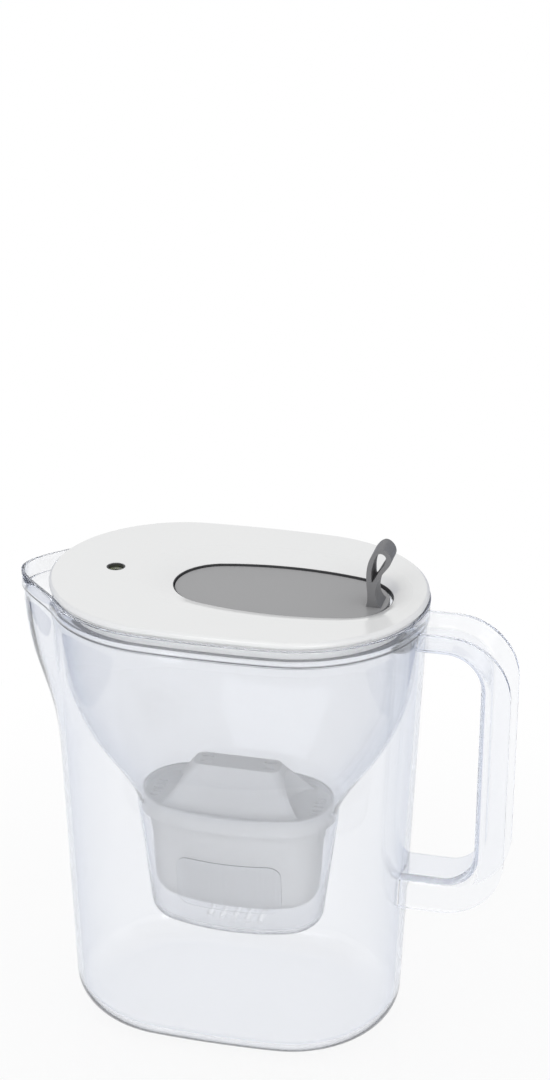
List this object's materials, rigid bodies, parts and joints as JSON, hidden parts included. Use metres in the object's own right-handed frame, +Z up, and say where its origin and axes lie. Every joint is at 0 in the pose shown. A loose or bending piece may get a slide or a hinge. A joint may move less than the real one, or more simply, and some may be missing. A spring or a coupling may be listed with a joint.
{
  "type": "water filter pitcher",
  "caption": "Clear pitcher with a spout and a loop handle, a drop-in funnel holding a filter cartridge, and a lid with a filling flap, a pull strap and a filter change indicator.",
  "frame": {"origin": "centre of the jug's flat foot, on the surface it stands on", "axes": "+Z up, +X towards the handle, -X towards the spout, -Y towards the viewer of the picture"},
  "size_m": [0.2635, 0.142, 0.2815],
  "materials": {
    "jug_clear": "polished, water clear",
    "funnel_clear": "polished, water clear",
    "plate_frosted": "fine frosted",
    "cartridge_white": "translucent, fine matte",
    "mesh_white": "woven",
    "granulate_mix": "loose grains",
    "lid_white": "polished",
    "flap_grey": "satin",
    "arm_grey": "satin",
    "strap_grey": "matte",
    "pin_steel": "ground",
    "indicator_white": "satin",
    "button_lime": "satin",
    "led_clear": "clear",
    "board_green": "solder mask",
    "switch_black": "moulded",
    "cell_steel": "brushed",
    "clip_spring": "plated",
    "seal_black": "matte"
  },
  "bodies": {
    "jug": {"jug_shell": "jug_clear", "jug_handle": "jug_clear"},
    "funnel": {"funnel_bowl": "funnel_clear", "funnel_neck": "funnel_clear", "neck_plate": "plate_frosted"},
    "cartridge": {"cartridge_cap": "cartridge_white", "cartridge_tub": "cartridge_white", "cartridge_bottom_mesh": "mesh_white", "cartridge_granulate": "granulate_mix", "cartridge_top_mesh": "mesh_white"},
    "lid": {"lid_cover": "lid_white", "lid_frame": "lid_white", "indicator_socket": "lid_white", "hinge_bracket_front": "lid_white", "hinge_bracket_rear": "lid_white", "hinge_pin": "pin_steel"},
    "flap": {"fill_flap": "flap_grey", "flap_arm": "arm_grey", "pull_strap": "strap_grey"},
    "indicator": {"indicator_housing": "indicator_white", "indicator_ring": "indicator_white", "indicator_face": "indicator_white", "status_led": "led_clear", "tact_switch": "switch_black", "circuit_board": "board_green", "coin_cell": "cell_steel", "battery_clip": "clip_spring", "indicator_base": "indicator_white", "base_seal": "seal_black", "sensor_pin_front": "cell_steel", "sensor_pin_rear": "cell_steel"},
    "button": {"reset_button": "button_lime"}
  },
  "joints": [
    {"name": "funnel_lift", "type": "slide", "parent": "jug", "child": "funnel", "axis": [0, 0, 1], "range_m": [0, 0.1507]},
    {"name": "lid_lift", "type": "slide", "parent": "funnel", "child": "lid", "axis": [0, 0, 1], "range_m": [0, 0.1186]},
    {"name": "cartridge_lift", "type": "slide", "parent": "funnel", "child": "cartridge", "axis": [0, 0, 1], "range_m": [0, 0.1688]},
    {"name": "flap_hinge", "type": "hinge", "parent": "lid", "child": "flap", "pos_m": [0.0896, 0, 0.243], "axis": [0, -1, 0], "range_deg": [-80, 0]},
    {"name": "indicator_drop", "type": "slide", "parent": "lid", "child": "indicator", "axis": [0, 0, -1], "range_m": [0, 0.0345]},
    {"name": "button_press", "type": "slide", "parent": "indicator", "child": "button", "axis": [0, 0, 1], "range_m": [-0.0008, 0], "stiffness_N_per_m": 400, "springref_m": 0.001}
  ],
  "couplings": [
    {"joint": "cartridge_lift", "follows": "lid_lift", "ratio": 1.423}
  ]
}
